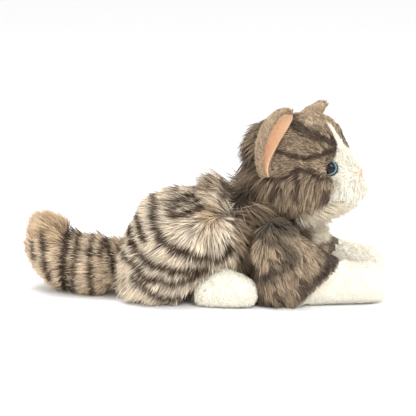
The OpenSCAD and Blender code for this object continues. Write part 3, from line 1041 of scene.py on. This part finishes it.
def add_tail():
    """The two tail covers, each on its own stuffed and fattened skin."""
    root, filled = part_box("tail_base_cover")[1].x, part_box("tail_base_stuffing")[1].x
    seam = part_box("tail_tip_cover")[1].x
    bends = {
        "tail_base_cover": ("torso", "tail", filled, root),
        "tail_tip_cover": ("tail", "tail_tip", seam + 2 * MM, -132 * MM),
    }
    for node, (first, second, start, end) in bends.items():
        nodes = [node, node.replace("cover", "stuffing")]
        skin = stuffed(node, nodes, nodes)
        fattened(skin)
        cover = add_covers(panels(skin, [node]), node, None, TAIL_PILE, TAIL, tail_comb, tail_looks)[0]
        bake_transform(cover)


# ---------------------------------------------------------------- ears


def grid_mesh(name, surface, columns, rows):
    """A mesh of surface(u, v) over the unit square."""
    points = [surface(u, v) for v in np.linspace(0, 1, rows) for u in np.linspace(0, 1, columns)]
    faces = []
    for row in range(rows - 1):
        for column in range(columns - 1):
            corner = row * columns + column
            faces.append((corner, corner + 1, corner + columns + 1, corner + columns))
    mesh = bpy.data.meshes.new(name)
    mesh.from_pydata([tuple(point) for point in points], [], faces)
    mesh.polygons.foreach_set("use_smooth", [True] * len(faces))
    return mesh


# Three lines up the left ear, from its seam to its tip, each through four spots:
# forward, left and up of the head's middle, in millimetres
EAR_INNER = ((-14, 38, -9), (-12, 39.5, 10), (-2, 30, 31), (3, 42, 46))
EAR_BACK = ((-19, 38, -9), (-24, 38, 10), (-18, 36, 33), (3, 43, 46))
EAR_OUTER = ((-17, 40, -8), (-18, 44.5, 9), (-11, 44.5, 31), (3, 43, 46))
# How far the left ear's tip leans forward, in millimetres
FAR_EAR_LEAN = 9
# The columns and rows of points in an ear's surface
EAR_GRID = (19, 17)
EAR_THICK = 2.4 * MM
LINING_THICK = 0.9 * MM
# The surfaces of the finished linings, which the pile keeps clear of
EAR_LININGS = []


def bowed(spots, t):
    """The place at t, from 0 to 1, on the even curve through evenly spaced spots."""
    stops = np.linspace(0, 1, len(spots))
    place = np.zeros(3)
    for index, spot in enumerate(spots):
        others = np.delete(stops, index)
        place += np.array(spot) * np.prod((t - others) / (stops[index] - others))
    return place


def ear_surface(side):
    """The ear's cupped leaf, from its inner to its outer edge (u) and from its seam to its tip (v)."""
    sign = SIDES[side]
    lean = FAR_EAR_LEAN if side == "left" else 0

    def surface(u, v):
        spots = [bowed(line, 0.96 * v) for line in (EAR_INNER, EAR_BACK, EAR_OUTER)]
        forward, left, up = bowed(spots, u)
        return from_face(forward + lean * math.sqrt(v), left * sign, up - 0.3 * lean * v)

    return surface


def thickened(mesh, thickness, offset):
    """A rounded solid of this thickness on one side of the surface."""
    obj = link(mesh.name, mesh)
    solid = obj.modifiers.new("thickness", "SOLIDIFY")
    solid.thickness = thickness
    solid.offset = offset
    smoother = obj.modifiers.new("smoother", "SUBSURF")
    smoother.levels = 1
    smoother.render_levels = 1
    return applied(obj)


def add_ear(side):
    surface = ear_surface(side)
    outward = -SIDES[side]
    shell = thickened(grid_mesh("ear", surface, *EAR_GRID), EAR_THICK, outward)
    inner = grid_mesh("lining", lambda u, v: surface(0.93 * u, 0.02 + 0.91 * v), *EAR_GRID)
    lining = link("cover_ear_lining_" + side, thickened(inner, LINING_THICK, -outward))
    lining.data.materials.append(VELOUR)
    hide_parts("ear_lining_" + side)
    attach(lining, "ear_" + side)
    tree = surface_tree(lining.data)
    EAR_LININGS.append(tree)

    def off_lining(roots):
        return apart([tree], roots, 1.5 * MM)

    faces = [tuple(face.vertices) for face in shell.polygons]
    parts = {"ear_back_" + side: (coordinates(shell), normals_of(shell), faces)}
    body = "ear_" + side
    add_covers(parts, body, body, EAR_PILE, PLUSH, ear_comb, plain_looks, spare=off_lining, fill=0.3)


def ear_comb(roots, normals):
    return alike(UP - 0.4 * FORWARD, roots), np.ones(len(roots))


def plain_looks(points):
    still = np.zeros(len(points))
    return still, still + 0.5, still


# ---------------------------------------------------------------- eyes, nose and mouth


# How far each eye looks to its side
EYE_TURN = math.radians(52)


def add_eyes():
    """The eyes and washers are hard parts, so the CAD solids stay, with materials of their own."""
    for side, sign in SIDES.items():
        sideways = LEFTWARD * math.sin(EYE_TURN) * sign
        axis = FORWARD * math.cos(EYE_TURN) + sideways + UP * 0.12
        middle = centre("eye_washer_" + side) - FORWARD * 1.6 * MM + UP * 0.6 * MM
        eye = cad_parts["eye_" + side]
        eye.data.materials[0] = eye_material("eye_plastic_" + side, middle, unit(axis))
        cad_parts["eye_washer_" + side].data.materials[0] = PLASTIC


def add_thread(name, stitches, radius, material, node):
    """Stitches of embroidery thread, each a short curve from point to point."""
    curve = bpy.data.curves.new(name, "CURVE")
    curve.dimensions = "3D"
    curve.bevel_depth = radius
    curve.bevel_resolution = 2
    curve.use_fill_caps = True
    for stitch in stitches:
        spline = curve.splines.new("POLY")
        spline.points.add(len(stitch) - 1)
        for point, place in zip(spline.points, stitch):
            point.co = (*place, 1)
    mesh = applied(link(name, curve))
    obj = link(name, mesh)
    mesh.materials.append(material)
    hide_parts(node)
    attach(obj, "head")


NOSE_ROWS = 9


def add_nose_and_mouth():
    """A small satin-stitched nose, widest at the top, with a short stitched line under it."""
    low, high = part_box("nose_stitching")
    height = high.z - low.z
    bars = []
    for share in np.linspace(0, 1, NOSE_ROWS):
        side = LEFTWARD * (2.8 - 2.2 * share) * MM
        middle = NOSE - FORWARD * 1.0 * MM + UP * (0.4 - 0.65 * share) * height
        bars.append([middle + side * t - FORWARD * 2.4 * MM * t * t for t in np.linspace(-1, 1, 7)])
    add_thread("nose_threads", bars, 0.55 * MM, NOSE_THREAD, "nose_stitching")
    foot = NOSE + FORWARD * 0.6 * MM - UP * height / 2
    below = centre("mouth_stitching")
    stem = [foot + (below - foot) * t for t in np.linspace(0, 1, 4)]
    lips = [
        [below + LEFTWARD * side * t * 5 * MM - FORWARD * 3 * MM * t * t - UP * 2.5 * MM * t * t
         for t in np.linspace(0, 1, 6)]
        for side in (-1, 1)
    ]
    add_thread("mouth_threads", [stem, *lips], 0.4 * MM, MOUTH_THREAD, "mouth_stitching")


# ---------------------------------------------------------------- what is inside


# How fast the two waves of the filling's lumps turn along x, y and z
LUMPS = np.array(((410.0, 350, 290), (-260.0, 390, 440)))
FILLED_BODIES = {
    "torso_stuffing": "torso", "thigh_stuffing_left": "torso", "thigh_stuffing_right": "torso",
    "head_stuffing": "head", "tail_base_stuffing": "tail", "tail_tip_stuffing": "tail_tip",
    "leg_stuffing_left": "front_leg_left", "leg_stuffing_right": "front_leg_right",
    "foot_stuffing_left": "foot_left", "foot_stuffing_right": "foot_right", "pellet_bag": "torso",
}


def add_fillings():
    """The stuffing of each sewn body, a little slack inside its cover, and the bag of pellets."""
    for node, body in FILLED_BODIES.items():
        obj = remeshed("inner_" + node, [node], COARSE_VOXEL)
        mesh = obj.data
        points, normals = coordinates(mesh), normals_of(mesh)
        lumps = np.sin(points @ LUMPS[0]) * np.sin(points @ LUMPS[1])
        set_coordinates(mesh, points - normals * (1.6 + 0.8 * lumps[:, None]) * MM)
        mesh.polygons.foreach_set("use_smooth", [True] * len(mesh.polygons))
        mesh.materials.append(POUCH if node == "pellet_bag" else FILLING)
        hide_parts(node)
        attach(obj, body)


add_camera()
add_studio()
# The fourth colour of each pile is painted shade, which darkens its strands towards their roots deep in
# the pile
TABBY = pile_material(
    "tabby_pile", (230, 215, 192), (172, 142, 108), (80, 60, 43), (74, 56, 42), 0.35, 0.62
)
TAIL_PILE = pile_material("tail_pile", (226, 206, 178), (206, 176, 136), (76, 54, 38), (104, 82, 62))
BROWN = pile_material(
    "shoulder_pile", (204, 182, 154), (128, 106, 84), (58, 45, 36), (42, 33, 28), 0.5, 0.65,
    white=(247, 239, 222),
)
HEAD_PILE = pile_material(
    "head_pile", (188, 166, 138), (126, 106, 84), (66, 50, 38), (50, 38, 30), 0.5, 0.7
)
EAR_PILE = pile_material(
    "ear_pile", (206, 184, 156), (186, 164, 136), (92, 72, 56), (150, 128, 104), 0.2
)
WHITE = pile_material(
    "white_pile", (250, 248, 240), (240, 236, 226), (120, 100, 80), (236, 228, 210), 0.06
)
CREAM = pile_material(
    "cream_pile", (244, 238, 224), (236, 228, 212), (120, 100, 80), (228, 216, 194), 0.08,
    white=(246, 236, 216),
)
VELOUR = velour_material()
NOSE_THREAD = thread_material("nose_thread", (222, 160, 146), (238, 190, 176))
MOUTH_THREAD = thread_material("mouth_thread", (176, 158, 136), (206, 190, 168))
PLASTIC = patterned_material(
    "washer_plastic", "ShaderNodeTexNoise", {"Scale": 200.0},
    (222, 222, 220), (240, 240, 238), 0.4, 0.5,
)
FILLING = patterned_material(
    "filling", "ShaderNodeTexNoise", {"Scale": 260.0, "Detail": 5.0},
    (205, 203, 196), (250, 250, 246), 0.95, 0.1, 0.4,
)
POUCH = patterned_material(
    "pellets", "ShaderNodeTexWave", {"Scale": 700.0, "Distortion": 0.3},
    (196, 186, 166), (226, 219, 204), 0.9, 0.15,
)
add_torso()
add_neck()
for side in SIDES:
    add_leg(side)
    add_foot(side)
    add_ear(side)
add_head()
add_tail()
add_eyes()
add_nose_and_mouth()
add_fillings()
